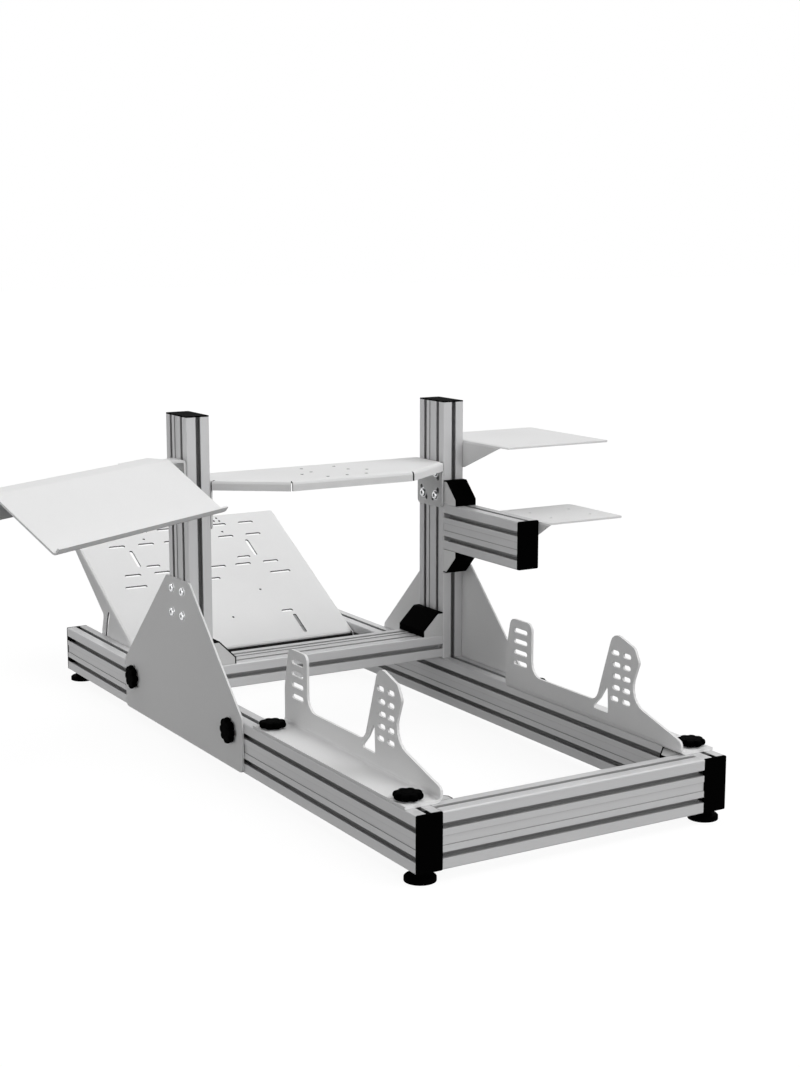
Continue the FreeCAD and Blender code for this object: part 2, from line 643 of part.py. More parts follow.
def wheel_deck():
    """The tilting deck between the uprights: a six-sided top, two cheeks and three rear lips."""
    half = INNER_X - SLIDE_GAP
    rear_half = DECK_REAR_W / 2
    rear = FRAME_Y - DECK_REACH
    fold = SHEET + BEND_R
    mid = DECK_Z - SHEET / 2
    low = DECK_Z - DECK_CHEEK_H
    line = [(-half + SHEET / 2, low), (-half + SHEET / 2, mid), (half - SHEET / 2, mid),
            (half - SHEET / 2, low)]
    body = folded_sheet("y", FRAME_Y, FRAME_Y1, line, SHEET, BEND_R)
    r = DECK_CHEEK_CORNER
    cheek = [(FRAME_Y, DECK_Z, 0), (FRAME_Y1, DECK_Z, 0), (FRAME_Y1, low, r), (FRAME_Y, low, r)]
    body = body.common(plate("x", -half, half, cheek))
    shoulder = half - fold
    diagonal = Vector(half - rear_half, DECK_REACH, 0).normalize()
    shoulder_y = FRAME_Y + fold * (1 - diagonal.y) / diagonal.x
    corner_x = rear_half - fold * (1 - diagonal.x) / diagonal.y
    top = [(-shoulder, shoulder_y, 0), (-corner_x, rear + fold, 0), (corner_x, rear + fold, 0),
           (shoulder, shoulder_y, 0), (shoulder, FRAME_Y1, 0), (-shoulder, FRAME_Y1, 0)]
    parts = [body, plate("z", DECK_Z - SHEET, DECK_Z, top)]
    edges = [((-half, FRAME_Y), (-rear_half, rear)), ((-rear_half, rear), (rear_half, rear)),
             ((rear_half, rear), (half, FRAME_Y))]
    for start, end in edges:
        first, second = shortened(start, end, DECK_LIP_RELIEF)
        parts.append(lip(first, second, DECK_LIP, DECK_Z))
    deck = join(parts)
    ring = DECK_BOLT_SPACING / math.sqrt(2)
    centre = (FRAME_MID_Y, DECK_PIVOT_Z)
    for angle in (45, 135, 225, 315):
        deck = deck.cut(arc_slot("x", -half - 1, half + 1, centre, ring, angle - DECK_SLOT_SWING,
                                 angle + DECK_SLOT_SWING, DECK_SLOT_W))
    for spacing, ahead in DECK_HOLE_ROWS:
        for x in (-spacing / 2, spacing / 2):
            deck = deck.cut(hole("z", mid - SHEET, DECK_Z + 1, x, FRAME_Y + ahead, DECK_HOLE_D))
    middle_y = FRAME_Y - DECK_MIDDLE_HOLE_SETBACK
    return deck.cut(slot("z", mid - SHEET, DECK_Z + 1, 0, middle_y, DECK_HOLE_D, DECK_HOLE_D))


def keyboard_tray():
    """The tray in its own frame at the pivot, then turned to its place beside the wheel."""
    slope = math.radians(TRAY_SLOPE)
    mid = -SHEET / 2
    bend = (-TRAY_BEND_BACK, mid)
    back = (TRAY_STRIP - TRAY_BEND_BACK, mid)
    low = (bend[0] - TRAY_PANEL * math.cos(slope), bend[1] - TRAY_PANEL * math.sin(slope))
    lip_end = (low[0] - TRAY_LIP * math.sin(slope), low[1] + TRAY_LIP * math.cos(slope))
    tray = folded_sheet("x", TRAY_END - TRAY_W, TRAY_END, [lip_end, low, bend, back], SHEET, BEND_R)
    flange_line = [(bend[0] / 2, mid), (back[0] - SHEET / 2, mid),
                   (back[0] - SHEET / 2, mid - TRAY_REAR_FLANGE)]
    flange = folded_sheet("x", TRAY_END - TRAY_W, TRAY_END - TRAY_FLANGE_START, flange_line, SHEET,
                          BEND_R)
    square_edge = block(TRAY_END - TRAY_W, TRAY_END - TRAY_FLANGE_START, back[0] - SHEET - BEND_R,
                        back[0], -SHEET, 0)
    tray = join([tray.cut(square_edge), flange])
    tray.Placement = Placement(Vector(-TRAY_PIVOT_X, TRAY_PIVOT_Y, TRAY_TOP_Z),
                               Rotation(Z_AXIS, TRAY_TURN))
    return tray


def seat_outline():
    """The side view of a seat bracket: a low band with a front ear and a taller rear ear."""
    ear_rear = SEAT_L - FRONT_EAR_L
    outline = [(SEAT_L, -1, 0), (SEAT_L, FRONT_EAR_BEND_H, FRONT_EAR_BEND_R),
               (SEAT_L - FRONT_EAR_LEAN, FRONT_EAR_H, FRONT_EAR_R), (ear_rear, FRONT_EAR_H, FRONT_EAR_R),
               (ear_rear, SEAT_BAND_H, EAR_FOOT_R)]
    outline += REAR_EAR_SIDE + [(0, SEAT_TAIL_H, SEAT_TAIL_R), (0, -1, 0)]
    return [(SEAT_Y + a, SEAT_Z + b, radius) for a, b, radius in outline]


def seat_bracket():
    """The right seat bracket: a foot flange on the rail and a slotted upright plate."""
    mid_x = SEAT_FACE_X - THICK_SHEET / 2
    mid_z = SEAT_Z + THICK_SHEET / 2
    top = SEAT_Z + SEAT_PLATE_H
    line = [(OUTER_X, mid_z), (mid_x, mid_z), (mid_x, top)]
    blank = folded_sheet("y", SEAT_Y, SEAT_Y + SEAT_L, line, THICK_SHEET, WIDE_BEND_R)
    x0 = SEAT_FACE_X - THICK_SHEET - 1
    x1 = SEAT_FACE_X + 1
    bracket = blank.common(plate("x", x0, OUTER_X + 1, seat_outline()))
    for row in range(FRONT_SLOT_COUNT):
        z = SEAT_Z + FRONT_SLOT_TOP - row * EAR_SLOT_PITCH
        bracket = bracket.cut(slot("x", x0, x1, SEAT_Y + SEAT_L - FRONT_SLOT_SETBACK, z, FRONT_SLOT_L,
                                   EAR_SLOT_W))
    for row in range(REAR_SLOT_COUNT):
        rise = (row - (REAR_SLOT_COUNT - 1) / 2) * EAR_SLOT_PITCH
        z = SEAT_Z + REAR_SLOT_MID + rise
        bow = REAR_SLOT_ARC_R - math.sqrt(REAR_SLOT_ARC_R ** 2 - rise ** 2)
        for y in (REAR_SLOT_Y, REAR_SLOT_Y + REAR_SLOT_STEP + bow):
            bracket = bracket.cut(slot("x", x0, x1, SEAT_Y + y, z, REAR_SLOT_L, EAR_SLOT_W,
                                       exact=row % 2 == 0))
    corners = [(SEAT_Y + a, SEAT_Z + b, radius) for a, b, radius in SEAT_WINDOW]
    return bracket.cut(plate("x", x0, x1, corners))


def seat_brackets():
    """Both seat brackets with the knobs that clamp them to the rails."""
    nodes = {}
    knob = star_knob()
    knob_z = SEAT_Z + THICK_SHEET
    right = {"seat_bracket": seat_bracket(),
             "seat_knob_rear": seated(knob, Vector(MID_X, SEAT_Y + SEAT_KNOB_REAR, knob_z)),
             "seat_knob_front": seated(knob, Vector(MID_X, SEAT_Y + SEAT_L - SEAT_KNOB_FRONT, knob_z))}
    for name, shape in right.items():
        nodes[name + "_right"] = shape
        nodes[name + "_left"] = other_side(shape)
    return nodes


def pedal_cheek():
    """The side view of a pedal plate's cheek about its pivot, with the ear for the arc slot."""
    swing = math.radians(PEDAL_ARC_SWING)
    end = Vector(PEDAL_ARC_R * math.cos(swing), -PEDAL_ARC_R * math.sin(swing), 0)
    return [(-PEDAL_TAIL, PEDAL_TOP, 0), (-PEDAL_PIVOT_R, 0, 4), (-PEDAL_PIVOT_R, -PEDAL_PIVOT_R, 12),
            (20, -PEDAL_PIVOT_R - 2, 20), (107, -38, 8), (end.x - 15, end.y - 2, 8),
            (end.x - 2, end.y - 14, 6), (135, -88, 6), (PEDAL_EAR_OUTER_R - 7, -60, 30),
            (PEDAL_EAR_OUTER_R, -24, 8), (331, -4, 0), (PEDAL_L, 3, 2), (PEDAL_L, PEDAL_TOP, 0)]


def pedal_plate():
    """The pedal plate in its own frame about its pivot, then tilted between the rails."""
    half = INNER_X - SLIDE_GAP
    mid = PEDAL_TOP - SHEET / 2
    low = -PEDAL_EAR_OUTER_R
    line = [(-half + SHEET / 2, low), (-half + SHEET / 2, mid), (half - SHEET / 2, mid),
            (half - SHEET / 2, low)]
    start = -2 * PEDAL_PIVOT_R
    blank = folded_sheet("y", start, PEDAL_L, line, SHEET, BEND_R)
    body = blank.common(plate("x", -half, half, pedal_cheek()))
    fold = SHEET + BEND_R
    lip_line = [(-PEDAL_TAIL + SHEET / 2, PEDAL_TOP - PEDAL_LIP), (-PEDAL_TAIL + SHEET / 2, mid),
                (PEDAL_PIVOT_R, mid)]
    square_edge = block(-half + fold, half - fold, start, -PEDAL_TAIL + fold, low, PEDAL_TOP + 1)
    body = body.cut(square_edge)
    body = join([body, folded_sheet("x", -half + fold, half - fold, lip_line, SHEET, BEND_R)])
    body = body.cut(arc_slot("x", -half - 1, half + 1, (0, 0), PEDAL_ARC_R, -PEDAL_ARC_SWING,
                             -PEDAL_ARC_END, PEDAL_ARC_W))
    for cutter in pedal_slots(mid - SHEET, PEDAL_TOP + 1):
        body = body.cut(cutter)
    body.Placement = Placement(Vector(0, PEDAL_PIVOT_Y, PEDAL_PIVOT_Z), Rotation(X_AXIS, PEDAL_TILT))
    return body


def pedal_slots(low, high):
    """Cutters for the pedal plate's slots: rows of cross slots, four long slots and small holes."""
    up, length = PEDAL_MIDDLE_SLOT
    cutters = [slot("z", low, high, 0, up, length, PEDAL_SLOT_W),
               slot("z", low, high, 0, PEDAL_MIDDLE_HOLE_UP, PEDAL_HOLE_D, PEDAL_HOLE_D)]
    for side in (-1, 1):
        for up, length, places in PEDAL_CROSS_SLOTS:
            for x in places:
                cutters.append(slot("z", low, high, side * x, up, length, PEDAL_SLOT_W))
        for up, length, x in PEDAL_LONG_SLOTS:
            cutters.append(slot("z", low, high, side * x, up, length, PEDAL_SLOT_W, along_b=True))
        for up, x in PEDAL_HOLES:
            cutters.append(slot("z", low, high, side * x, up, PEDAL_HOLE_D, PEDAL_HOLE_D))
    return cutters


def all_nodes():
    """Every node of the frame by name."""
    nodes = base()
    nodes.update(wheel_frame())
    nodes["wheel_deck"] = wheel_deck()
    nodes["keyboard_tray"] = keyboard_tray()
    nodes.update(seat_brackets())
    nodes["pedal_plate"] = pedal_plate()
    return nodes


def bottom_centre(shapes):
    """The middle of the underside of the box around all shapes."""
    box = FreeCAD.BoundBox()
    for shape in shapes:
        box.add(shape.optimalBoundingBox(False, False))
    return Vector(box.Center.x, box.Center.y, box.ZMin)


def main():
    """Write one STEP file per node, with the origin on the floor under the frame's middle."""
    nodes = all_nodes()
    origin = bottom_centre(nodes.values())
    os.makedirs("parts", exist_ok=True)
    for name, shape in sorted(nodes.items()):
        placed = shape.copy()
        placed.translate(-origin)
        placed.exportStep("parts/" + name + ".step")


main()
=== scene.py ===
import math
import bmesh
import bpy
from mathutils import Matrix, Vector


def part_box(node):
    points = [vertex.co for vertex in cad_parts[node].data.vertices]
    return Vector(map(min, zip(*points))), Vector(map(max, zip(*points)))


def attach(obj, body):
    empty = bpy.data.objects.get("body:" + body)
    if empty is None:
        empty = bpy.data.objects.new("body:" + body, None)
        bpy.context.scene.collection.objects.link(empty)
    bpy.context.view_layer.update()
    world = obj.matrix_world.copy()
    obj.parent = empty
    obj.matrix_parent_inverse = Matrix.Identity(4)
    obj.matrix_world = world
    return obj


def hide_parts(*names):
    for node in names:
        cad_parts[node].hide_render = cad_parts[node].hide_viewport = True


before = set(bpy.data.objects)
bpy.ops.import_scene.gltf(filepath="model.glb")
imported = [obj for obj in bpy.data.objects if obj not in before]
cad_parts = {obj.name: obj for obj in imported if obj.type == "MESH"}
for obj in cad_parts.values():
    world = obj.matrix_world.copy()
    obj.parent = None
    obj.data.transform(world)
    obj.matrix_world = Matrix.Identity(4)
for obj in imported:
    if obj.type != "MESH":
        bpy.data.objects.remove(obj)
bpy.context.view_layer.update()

# Slotted profile bars: 40 x 80 mm aluminium, extruded, satin anodised and sawn to length.
# Each keeps a fine grain along its length from the die, so there is one finish for each direction.
PROFILE_COLOUR = (0.64, 0.64, 0.645, 1.0)
PROFILE_SHADE = (0.55, 0.55, 0.555, 1.0)
PROFILE_METALLIC = 0.2
# Painted shade: ambient occlusion turns the colour dark in narrow grooves and corners (LINE_*) and
# down in the slots (SLOT_*).
SLOT_REACH = 0.012
SLOT_PAINTED_SHADE = (0.03, 0.03, 0.03, 1.0)
SLOT_CLOSED = 0.32
LINE_REACH = 0.0012
LINE_PAINTED_SHADE = (0.22, 0.22, 0.22, 1.0)
LINE_OPEN = 0.8
GRAIN_ACROSS = 900.0
GRAIN_ALONG = 6.0
MIX_FACTOR, MIX_FIRST, MIX_SECOND, MIX_RESULT = 0, 6, 7, 2


def add_node(tree, kind, **values):
    """A node of one kind, with its settings and its inputs' values by name."""
    made = tree.nodes.new(kind)
    for name, value in values.items():
        title = name.replace("_", " ")
        if title in made.inputs:
            made.inputs[title].default_value = value
        else:
            setattr(made, name, value)
    return made


def effect_group(name, inputs, outputs):
    """An empty node group with its number inputs and outputs, and its two end nodes."""
    group = bpy.data.node_groups.new(name, "ShaderNodeTree")
    for title, value in inputs.items():
        kind = "NodeSocketVector" if isinstance(value, tuple) else "NodeSocketFloat"
        socket = group.interface.new_socket(title, in_out="INPUT", socket_type=kind)
        socket.default_value = value
    for title in outputs:
        group.interface.new_socket(title, in_out="OUTPUT", socket_type="NodeSocketFloat")
    return group, group.nodes.new("NodeGroupInput"), group.nodes.new("NodeGroupOutput")


def place_effect(tree, name, **values):
    """A shared effect's node, with the values that it has in this material."""
    return add_node(tree, "ShaderNodeGroup", node_tree=bpy.data.node_groups[name], **values)


def noise_range(tree, low, high):
    """A node that stretches the middle of a noise, where nearly all of it lies, to a range."""
    return add_node(tree, "ShaderNodeMapRange", From_Min=0.3, From_Max=0.7, To_Min=low, To_Max=high)


def average(tree, first, second):
    """The mean of two values."""
    total = add_node(tree, "ShaderNodeMath", operation="ADD")
    halved = add_node(tree, "ShaderNodeMath", operation="MULTIPLY")
    halved.inputs[1].default_value = 0.5
    tree.links.new(first, total.inputs[0])
    tree.links.new(second, total.inputs[1])
    tree.links.new(total.outputs[0], halved.inputs[0])
    return halved.outputs[0]


def mixed_colour(tree, factor, first, second):
    """A colour between two, each of them a colour or another node's output."""
    mixed = add_node(tree, "ShaderNodeMix", data_type="RGBA")
    tree.links.new(factor, mixed.inputs[MIX_FACTOR])
    for place, part in ((MIX_FIRST, first), (MIX_SECOND, second)):
        if isinstance(part, tuple):
            mixed.inputs[place].default_value = part
        else:
            tree.links.new(part, mixed.inputs[place])
    return mixed.outputs[MIX_RESULT]


def drawn_grain():
    """Fine lines along one direction, and a slow change of tone."""
    group, given, result = effect_group(
        "drawn_grain", {"Stretch": (GRAIN_ACROSS, GRAIN_ALONG, GRAIN_ACROSS)},
        ["Height", "Tone", "Rough"])
    place = add_node(group, "ShaderNodeTexCoord")
    stretch = add_node(group, "ShaderNodeVectorMath", operation="MULTIPLY")
    lines = add_node(group, "ShaderNodeTexNoise", Scale=1.0, Detail=3.0, Roughness=0.6)
    slow = add_node(group, "ShaderNodeTexNoise", Scale=9.0, Detail=2.0, Roughness=0.5)
    fine = noise_range(group, 0.35, 0.65)
    rough = noise_range(group, 0.34, 0.46)
    link = group.links.new
    link(place.outputs["Object"], stretch.inputs[0])
    link(given.outputs["Stretch"], stretch.inputs[1])
    link(stretch.outputs[0], lines.inputs["Vector"])
    link(place.outputs["Object"], slow.inputs["Vector"])
    link(lines.outputs["Fac"], fine.inputs["Value"])
    link(lines.outputs["Fac"], rough.inputs["Value"])
    link(lines.outputs["Fac"], result.inputs["Height"])
    link(average(group, slow.outputs["Fac"], fine.outputs["Result"]), result.inputs["Tone"])
    link(rough.outputs["Result"], result.inputs["Rough"])


def painted_shade_mask():
    """Where painted shade goes: how far a point lies down in a slot or corner of its own piece, from
    0 to 1, by ambient occlusion.
    """
    group, given, result = effect_group(
        "painted_shade_mask", {"Reach": 0.012, "Open": 0.9, "Closed": 0.25}, ["Mask"])
    around = add_node(group, "ShaderNodeAmbientOcclusion", samples=8, only_local=True)
    level = add_node(group, "ShaderNodeMapRange", To_Min=1.0, To_Max=0.0)
    group.links.new(given.outputs["Reach"], around.inputs["Distance"])
    group.links.new(given.outputs["Open"], level.inputs["From Max"])
    group.links.new(given.outputs["Closed"], level.inputs["From Min"])
    group.links.new(around.outputs["AO"], level.inputs["Value"])
    group.links.new(level.outputs["Result"], result.inputs["Mask"])


def painted_recess_shade(tree, colour, reach, dark, opening=0.9, closed=0.25):
    """A colour with painted shade, turning to a dark one down in the recesses of its piece."""
    recess = place_effect(tree, "painted_shade_mask", Reach=reach, Open=opening, Closed=closed)
    return mixed_colour(tree, recess.outputs["Mask"], colour, dark)


def new_material(name):
    """A material with only its Principled shader, and the tree to build on."""
    material = bpy.data.materials.new(name)
    material.use_nodes = True
    return material, material.node_tree, material.node_tree.nodes["Principled BSDF"]


def feed_shader(tree, shader, colour, rough):
    """Give a shader its colour and its roughness."""
    tree.links.new(colour, shader.inputs["Base Color"])
    tree.links.new(rough, shader.inputs["Roughness"])


def raise_surface(tree, shader, height, strength, distance):
    """Give a shader the bumps of a height."""
    bump = add_node(tree, "ShaderNodeBump", Strength=strength, Distance=distance)
    tree.links.new(height, bump.inputs["Height"])
    tree.links.new(bump.outputs["Normal"], shader.inputs["Normal"])


def profile_material(name, stretch):
    """Satin anodised aluminium with its grain stretched along a bar, and painted shade in its narrow
    grooves and down in its slots.
    """
    material, tree, shader = new_material(name)
    shader.inputs["Metallic"].default_value = PROFILE_METALLIC
    grain = place_effect(tree, "drawn_grain", Stretch=stretch)
    tone = mixed_colour(tree, grain.outputs["Tone"], PROFILE_SHADE, PROFILE_COLOUR)
    # Painted shade, first in the narrow grooves and corners, then down in the slots.
    groove_shaded = painted_recess_shade(tree, tone, LINE_REACH, LINE_PAINTED_SHADE, opening=LINE_OPEN)
    shaded = painted_recess_shade(tree, groove_shaded, SLOT_REACH, SLOT_PAINTED_SHADE, closed=SLOT_CLOSED)
    feed_shader(tree, shader, shaded, grain.outputs["Rough"])
    raise_surface(tree, shader, grain.outputs["Height"], strength=0.12, distance=0.0004)
    return material


def finish_node(name, material):
    """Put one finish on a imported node."""
    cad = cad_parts[name]
    cad.data.materials.clear()
    cad.data.materials.append(material)


drawn_grain()
painted_shade_mask()
bars_by_direction = {
    (GRAIN_ALONG, GRAIN_ACROSS, GRAIN_ACROSS): ["crossbar_rear", "crossbar_front", "cross_member"],
    (GRAIN_ACROSS, GRAIN_ALONG, GRAIN_ACROSS): ["rail_left", "rail_right", "shifter_arm"],
    (GRAIN_ACROSS, GRAIN_ACROSS, GRAIN_ALONG): ["upright_left", "upright_right"],
}
for letter, (stretch, bars) in zip("xyz", bars_by_direction.items()):
    satin = profile_material("anodised_" + letter, stretch)
    for bar in bars:
        finish_node(bar, satin)

# End caps: thin black plastic plates pressed onto the bars' sawn ends by plugs in their slots.
# The plugs show as black ends of the slots, on top of each rail and on its outer side in front.
BLACK = (0.0004, 0.0004, 0.0004, 1.0)
BLACK_LIGHT = (0.0010, 0.0010, 0.0010, 1.0)
BLACK_SHINE = 0.004
SIDES = (("left", -1), ("right", 1))
SLOT_LINES = (0.020, 0.060)
PLUG_LENGTH = 0.012
PLUG_WIDTH = 0.0078
PLUG_DEPTH = 0.0115
PLUG_INSET = 0.0004
PLUG_BEVEL = {"offset": 0.0006, "segments": 2, "profile": 0.7}
SHARP_ANGLE = math.radians(32)


def mottled_skin():
    """The fine uneven skin that a mould, a tumbler or a plating bath leaves."""
    group, given, result = effect_group(
        "mottled_skin", {"Grain": 600.0, "Layers": 2.0, "Breakup": 0.5, "Smooth": 0.4, "Dull": 0.6},
        ["Height", "Rough"])
    place = add_node(group, "ShaderNodeTexCoord")
    skin = add_node(group, "ShaderNodeTexNoise")
    rough = noise_range(group, 0.0, 1.0)
    link = group.links.new
    link(place.outputs["Object"], skin.inputs["Vector"])
    link(given.outputs["Grain"], skin.inputs["Scale"])
    link(given.outputs["Layers"], skin.inputs["Detail"])
    link(given.outputs["Breakup"], skin.inputs["Roughness"])
    link(given.outputs["Smooth"], rough.inputs["To Min"])
    link(given.outputs["Dull"], rough.inputs["To Max"])
    link(skin.outputs["Fac"], rough.inputs["Value"])
    link(skin.outputs["Fac"], result.inputs["Height"])
    link(rough.outputs["Result"], result.inputs["Rough"])


def moulded_skin(name, deep, light, shine):
    """Matte plastic with the fine dull skin of its mould, also used for the black band of painted
    shade.
    """
    material, tree, shader = new_material(name)
    shader.inputs["Specular IOR Level"].default_value = shine
    skin = place_effect(tree, "mottled_skin", Grain=1400.0, Layers=2.0, Smooth=0.55, Dull=0.7)
    colour = mixed_colour(tree, skin.outputs["Height"], deep, light)
    feed_shader(tree, shader, colour, skin.outputs["Rough"])
    raise_surface(tree, shader, skin.outputs["Height"], strength=0.25, distance=0.0002)
    return material


def piece_from(name, shape, material, body):
    """A piece from a finished shape, riding on a body."""
    mesh = bpy.data.meshes.new(name)
    bmesh.ops.recalc_face_normals(shape, faces=shape.faces)
    shape.to_mesh(mesh)
    shape.free()
    mesh.materials.append(material)
    mesh.shade_smooth()
    mesh.set_sharp_from_angle(angle=SHARP_ANGLE)
    made = bpy.data.objects.new(name, mesh)
    bpy.context.scene.collection.objects.link(made)
    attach(made, body)
    return made


def add_bar(shape, centre, half, bevel):
    """A short bar with bevelled edges, from its centre and its half sizes."""
    corners = bmesh.ops.create_cube(shape, size=2.0)["verts"]
    for vertex in corners:
        vertex.co = Vector((centre[i] + vertex.co[i] * half[i] for i in range(3)))
    edges = [edge for edge in shape.edges if all(end in corners for end in edge.verts)]
    bmesh.ops.bevel(shape, geom=edges, affect="EDGES", **bevel)


mottled_skin()
black = moulded_skin("moulded_black", BLACK, BLACK_LIGHT, BLACK_SHINE)
for cap in ["rail_cap_rear_left", "rail_cap_rear_right", "rail_cap_front_left",
            "rail_cap_front_right", "upright_cap_left", "upright_cap_right", "shifter_arm_cap"]:
    finish_node(cap, black)
for side, outward in SIDES:
    low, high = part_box("rail_" + side)
    outer_x = low.x if side == "left" else high.x
    for end, end_y, back in (("rear", low.y, 1), ("front", high.y, -1)):
        plugs = bmesh.new()
        middle_y = end_y + back * PLUG_LENGTH / 2
        for line in SLOT_LINES if end == "front" else ():
            centre = (outer_x - outward * (PLUG_DEPTH / 2 + PLUG_INSET), middle_y, low.z + line)
            add_bar(plugs, centre, (PLUG_DEPTH / 2, PLUG_LENGTH / 2, PLUG_WIDTH / 2), PLUG_BEVEL)
        centre = ((low.x + high.x) / 2, middle_y, high.z - PLUG_DEPTH / 2 - PLUG_INSET)
        add_bar(plugs, centre, (PLUG_WIDTH / 2, PLUG_LENGTH / 2, PLUG_DEPTH / 2), PLUG_BEVEL)
        piece_from("rail_plugs_%s_%s" % (end, side), plugs, black, "base")

# Corner brackets: cast aluminium angles bolted into the slots, tumbled to a dull silver.
# Each has a black plastic cover snapped over its open slope.
CASTING = (0.44, 0.44, 0.44, 1.0)
CASTING_LIGHT = (0.54, 0.54, 0.54, 1.0)
CASTING_METALLIC = 0.6


def tumbled_casting():
    """Cast aluminium with the soft mottled skin that tumbling leaves."""
    material, tree, shader = new_material("tumbled_casting")
    shader.inputs["Metallic"].default_value = CASTING_METALLIC
    skin = place_effect(tree, "mottled_skin", Grain=260.0, Layers=4.0, Breakup=0.65,
                        Smooth=0.42, Dull=0.58)
    colour = mixed_colour(tree, skin.outputs["Height"], CASTING, CASTING_LIGHT)
    feed_shader(tree, shader, colour, skin.outputs["Rough"])
    raise_surface(tree, shader, skin.outputs["Height"], strength=0.2, distance=0.0005)
    return material


casting = tumbled_casting()
for bracket in ["corner_bracket_left", "corner_bracket_right", "cross_bracket_left",
                "cross_bracket_right", "arm_bracket_upper", "arm_bracket_lower"]:
    finish_node(bracket, casting)
for cover in ["corner_bracket_covers", "cross_bracket_covers", "arm_bracket_covers"]:
    finish_node(cover, black)

# Levelling feet: black plastic discs moulded on short threaded necks.
# Each neck is screwed up into the underside of a rail, near its end.
for foot in ["foot_rear_left", "foot_rear_right", "foot_front_left", "foot_front_right"]:
    finish_node(foot, black)

# Side plates: 3 mm steel sheet, laser cut and powder coated light grey, one beside each upright.
# Four button-head screws hold each one to its upright.
COAT_COLOUR = (0.76, 0.76, 0.76, 1.0)
COAT_LIGHT = (0.84, 0.84, 0.84, 1.0)
COAT_SHINE = 0.35
COAT_GRAIN = 700.0
ZINC = (0.72, 0.73, 0.74, 1.0)
ZINC_LIGHT = (0.88, 0.89, 0.90, 1.0)
ZINC_METALLIC = 0.85
# Painted shade: the zinc colour turns nearly black down in the small recesses of screws and nuts,
# their hexagon sockets most of all.
SOCKET_REACH = 0.0028
SOCKET_PAINTED_SHADE = (0.02, 0.02, 0.02, 1.0)
SOCKET_OPEN, SOCKET_CLOSED = 0.97, 0.55
SCREW_SPACING = 0.040
SCREW_PAIR = (-SCREW_SPACING / 2, SCREW_SPACING / 2)
SCREW_TOP_DROP = 0.018
SCREW_STEPS = 48


def coat_skin():
    """The faint orange peel and speckle of a powder coat."""
    group, given, result = effect_group(
        "coat_skin", {"Grain": COAT_GRAIN}, ["Height", "Speckle", "Rough"])
    place = add_node(group, "ShaderNodeTexCoord")
    peel = add_node(group, "ShaderNodeTexNoise", Detail=2.0, Roughness=0.5)
    cloud = add_node(group, "ShaderNodeTexNoise", Scale=14.0, Detail=3.0, Roughness=0.6)
    rough = noise_range(group, 0.5, 0.62)
    link = group.links.new
    link(place.outputs["Object"], peel.inputs["Vector"])
    link(given.outputs["Grain"], peel.inputs["Scale"])
    link(place.outputs["Object"], cloud.inputs["Vector"])
    link(cloud.outputs["Fac"], rough.inputs["Value"])
    link(peel.outputs["Fac"], result.inputs["Height"])
    link(average(group, peel.outputs["Fac"], cloud.outputs["Fac"]), result.inputs["Speckle"])
    link(rough.outputs["Result"], result.inputs["Rough"])


def powder_coat(name, cuts=None):
    """Light grey powder coat on sheet, with painted shade on the walls of its cut slots and in other
    close recesses if that shade is given.
    """
    material, tree, shader = new_material(name)
    shader.inputs["Specular IOR Level"].default_value = COAT_SHINE
    skin = place_effect(tree, "coat_skin", Grain=COAT_GRAIN)
    colour = mixed_colour(tree, skin.outputs["Speckle"], COAT_COLOUR, COAT_LIGHT)
    if cuts:
        colour = painted_recess_shade(tree, colour, **cuts)
    feed_shader(tree, shader, colour, skin.outputs["Rough"])
    raise_surface(tree, shader, skin.outputs["Height"], strength=0.15, distance=0.0003)
    return material


def bright_zinc():
    """Bright zinc-plated steel for screws and washers, with painted shade down in a screw's socket.
    """
    material, tree, shader = new_material("bright_zinc")
    shader.inputs["Metallic"].default_value = ZINC_METALLIC
    skin = place_effect(tree, "mottled_skin", Grain=600.0, Layers=3.0, Smooth=0.16, Dull=0.28)
    colour = mixed_colour(tree, skin.outputs["Height"], ZINC, ZINC_LIGHT)
    shaded = painted_recess_shade(tree, colour, SOCKET_REACH, SOCKET_PAINTED_SHADE, SOCKET_OPEN, SOCKET_CLOSED)
    feed_shader(tree, shader, shaded, skin.outputs["Rough"])
    return material


def hexagon(radius):
    """The reach of a hexagon's outline at an angle, for a ring of a turned shape."""
    return lambda angle: radius / math.cos((angle + math.pi / 6) % (math.pi / 3) - math.pi / 6)


def add_turned(shape, rings, count, place):
    """A closed turned shape from (radius, height) rings; a radius may depend on the angle."""
    loops = []
    for radius, height in rings:
        loop = []
        for step in range(count):
            angle = 2 * math.pi * step / count
            reach = radius(angle) if callable(radius) else radius
            point = Vector((reach * math.cos(angle), reach * math.sin(angle), height))
            loop.append(shape.verts.new(place @ point))
        loops.append(loop)
    for lower, upper in zip(loops, loops[1:]):
        for step in range(count):
            after = (step + 1) % count
            shape.faces.new((lower[step], lower[after], upper[after], upper[step]))
    shape.faces.new(loops[0][::-1])
    shape.faces.new(loops[-1])


def standing(point, axis):
    """A place for a turned shape: its foot at a point and its own Z along an axis."""
    turn = Vector((0, 0, 1)).rotation_difference(Vector(axis))
    return Matrix.Translation(point) @ turn.to_matrix().to_4x4()


PLAIN_FOOT = [(0.0066, -0.0002), (0.0070, 0.0)]
FLANGED_FOOT = [(0.0084, -0.0002), (0.0089, 0.0001), (0.0089, 0.0010), (0.0087, 0.0013),
                (0.0070, 0.0013), (0.0066, 0.0008)]
FLANGE_LIFT = 0.0003
SCREW_HEAD = [(0.0064, 0.0005), (0.0066, 0.0015), (0.0066, 0.0024), (0.0063, 0.0034),
              (0.0058, 0.0040), (0.0053, 0.0042), (hexagon(0.0031), 0.0042),
              (hexagon(0.0029), 0.0039), (hexagon(0.0028), 0.0006), (0.0006, 0.0002)]


